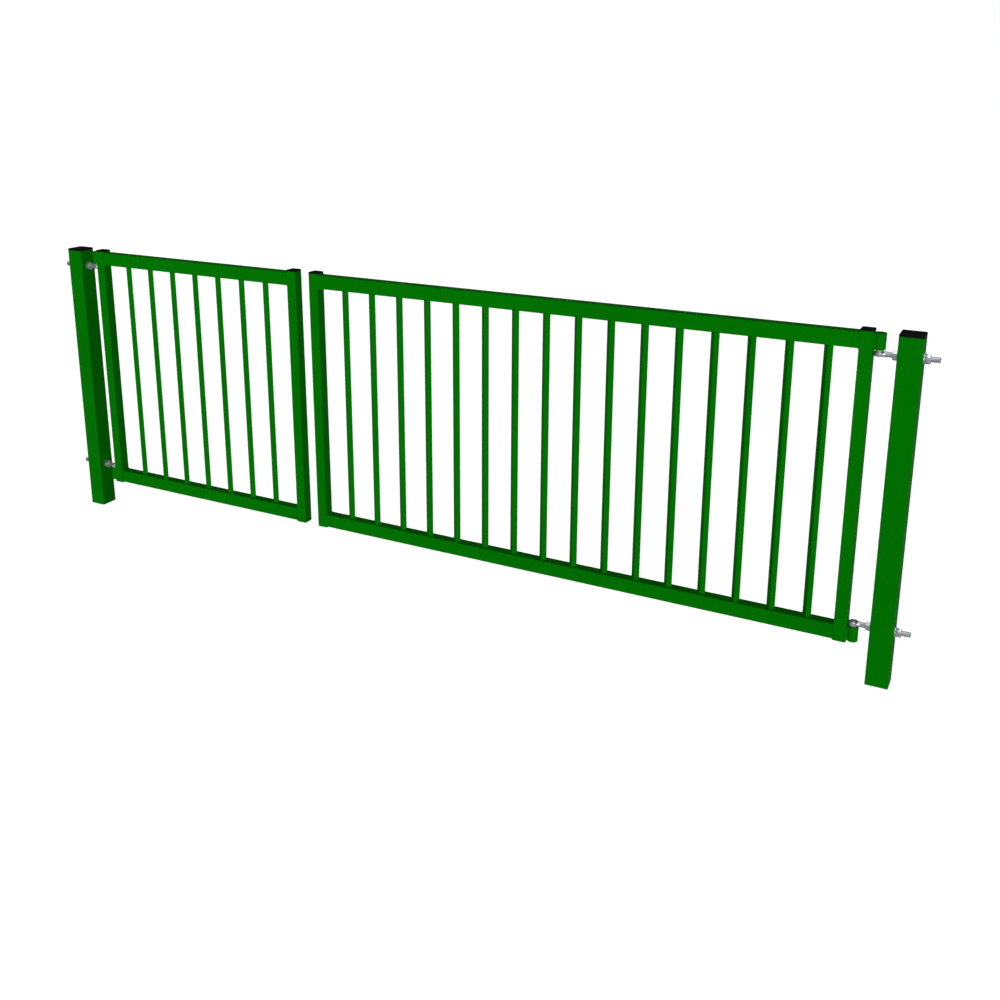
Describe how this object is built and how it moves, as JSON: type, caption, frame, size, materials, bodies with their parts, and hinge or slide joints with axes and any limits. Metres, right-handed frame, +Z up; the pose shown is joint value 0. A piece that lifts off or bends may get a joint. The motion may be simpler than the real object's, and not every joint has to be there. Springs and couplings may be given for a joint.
{
  "type": "double gate",
  "caption": "Unequal double swing gate of welded square tube with upright bars, hung on adjustable eye bolts between two capped posts.",
  "frame": {"origin": "centre of the left post's foot, at ground level", "axes": "+X along the closed gate towards the right post, +Y to the back, +Z up"},
  "size_m": [3.432, 0.07, 1.119],
  "materials": {
    "green_coating": "green powder coat, semi-gloss",
    "black_plastic": "moulded black plastic, matt",
    "zinc_steel": "bright zinc-plated steel"
  },
  "bodies": {
    "posts": {"left_post": "green_coating", "left_post_cap": "black_plastic", "left_upper_eyebolt": "zinc_steel", "left_upper_inner_nut": "zinc_steel", "left_upper_outer_nut": "zinc_steel", "left_upper_washer": "zinc_steel", "left_lower_eyebolt": "zinc_steel", "left_lower_inner_nut": "zinc_steel", "left_lower_outer_nut": "zinc_steel", "left_lower_washer": "zinc_steel", "right_post": "green_coating", "right_post_cap": "black_plastic", "right_upper_eyebolt": "zinc_steel", "right_upper_inner_nut": "zinc_steel", "right_upper_outer_nut": "zinc_steel", "right_upper_washer": "zinc_steel", "right_lower_eyebolt": "zinc_steel", "right_lower_inner_nut": "zinc_steel", "right_lower_outer_nut": "zinc_steel", "right_lower_washer": "zinc_steel"},
    "left_leaf": {"left_hinge_stile": "green_coating", "left_meeting_stile": "green_coating", "left_top_rail": "green_coating", "left_bottom_rail": "green_coating", "left_bars": "green_coating", "left_hinge_stile_cap": "black_plastic", "left_meeting_stile_cap": "black_plastic", "left_upper_barrel": "green_coating", "left_upper_pin": "zinc_steel", "left_lower_barrel": "green_coating", "left_lower_pin": "zinc_steel"},
    "right_leaf": {"right_hinge_stile": "green_coating", "right_meeting_stile": "green_coating", "right_top_rail": "green_coating", "right_bottom_rail": "green_coating", "right_bars": "green_coating", "right_hinge_stile_cap": "black_plastic", "right_meeting_stile_cap": "black_plastic", "right_upper_barrel": "green_coating", "right_upper_pin": "zinc_steel", "right_lower_barrel": "green_coating", "right_lower_pin": "zinc_steel"}
  },
  "joints": [
    {"name": "left_leaf_hinge", "type": "hinge", "parent": "posts", "child": "left_leaf", "pos_m": [0.0885, 0, 0.181], "axis": [0, 0, 1], "range_deg": [-90, 90]},
    {"name": "right_leaf_hinge", "type": "hinge", "parent": "posts", "child": "right_leaf", "pos_m": [3.1815, 0, 0.181], "axis": [0, 0, 1], "range_deg": [-90, 90]}
  ]
}
